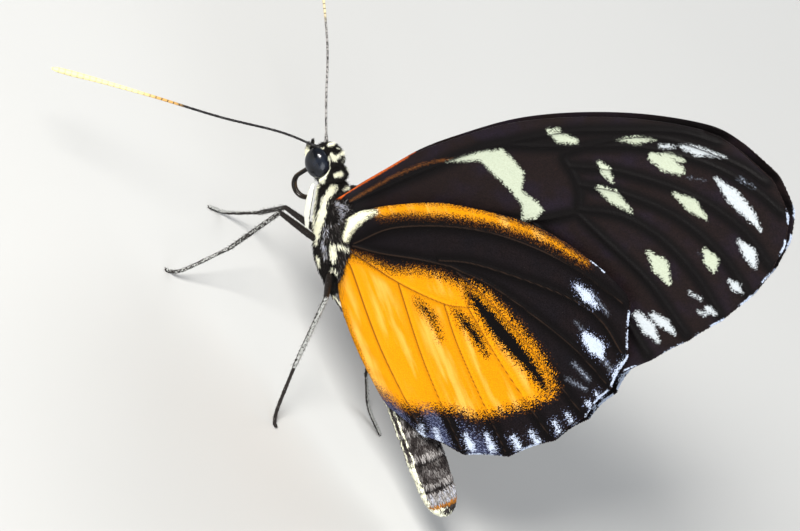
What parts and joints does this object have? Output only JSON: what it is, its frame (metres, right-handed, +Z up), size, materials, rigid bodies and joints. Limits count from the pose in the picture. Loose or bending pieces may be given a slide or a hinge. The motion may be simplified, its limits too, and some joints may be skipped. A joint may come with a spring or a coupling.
{
  "type": "cream-spotted tigerwing butterfly",
  "caption": "Life-size butterfly standing with black, orange and cream wings closed over its back, feelers forward and tongue loosely coiled.",
  "frame": {"origin": "on the floor under the feet, below the middle of the whole part's box", "axes": "head faces -X, tail +X, left side -Y, +Z up"},
  "size_m": [0.0476, 0.0264, 0.0459],
  "materials": {
    "body": "matte black scales with cream marks",
    "wings": "matte scales, dark brown with orange fields and cream spots",
    "legs": "matte black scales with pale lines",
    "feelers": "satin, black with a pale yellow end",
    "tongue": "satin black",
    "eyes": "glossy dark blue-grey"
  },
  "bodies": {
    "root": {"head": "body", "collar": "body", "thorax": "body", "abdomen": "body", "eye_left": "eyes", "eye_right": "eyes", "palp_left": "body", "palp_right": "body", "proboscis": "tongue", "antenna_left": "feelers", "antenna_right": "feelers", "forewing_left": "wings", "forewing_right": "wings", "hindwing_left": "wings", "hindwing_right": "wings", "foreleg_left": "legs", "foreleg_right": "legs", "midleg_femur_left": "legs", "midleg_tibia_left": "legs", "midleg_tarsus_left": "legs", "midleg_femur_right": "legs", "midleg_tibia_right": "legs", "midleg_tarsus_right": "legs", "hindleg_femur_left": "legs", "hindleg_tibia_left": "legs", "hindleg_tarsus_left": "legs", "hindleg_femur_right": "legs", "hindleg_tibia_right": "legs", "hindleg_tarsus_right": "legs"}
  },
  "joints": []
}
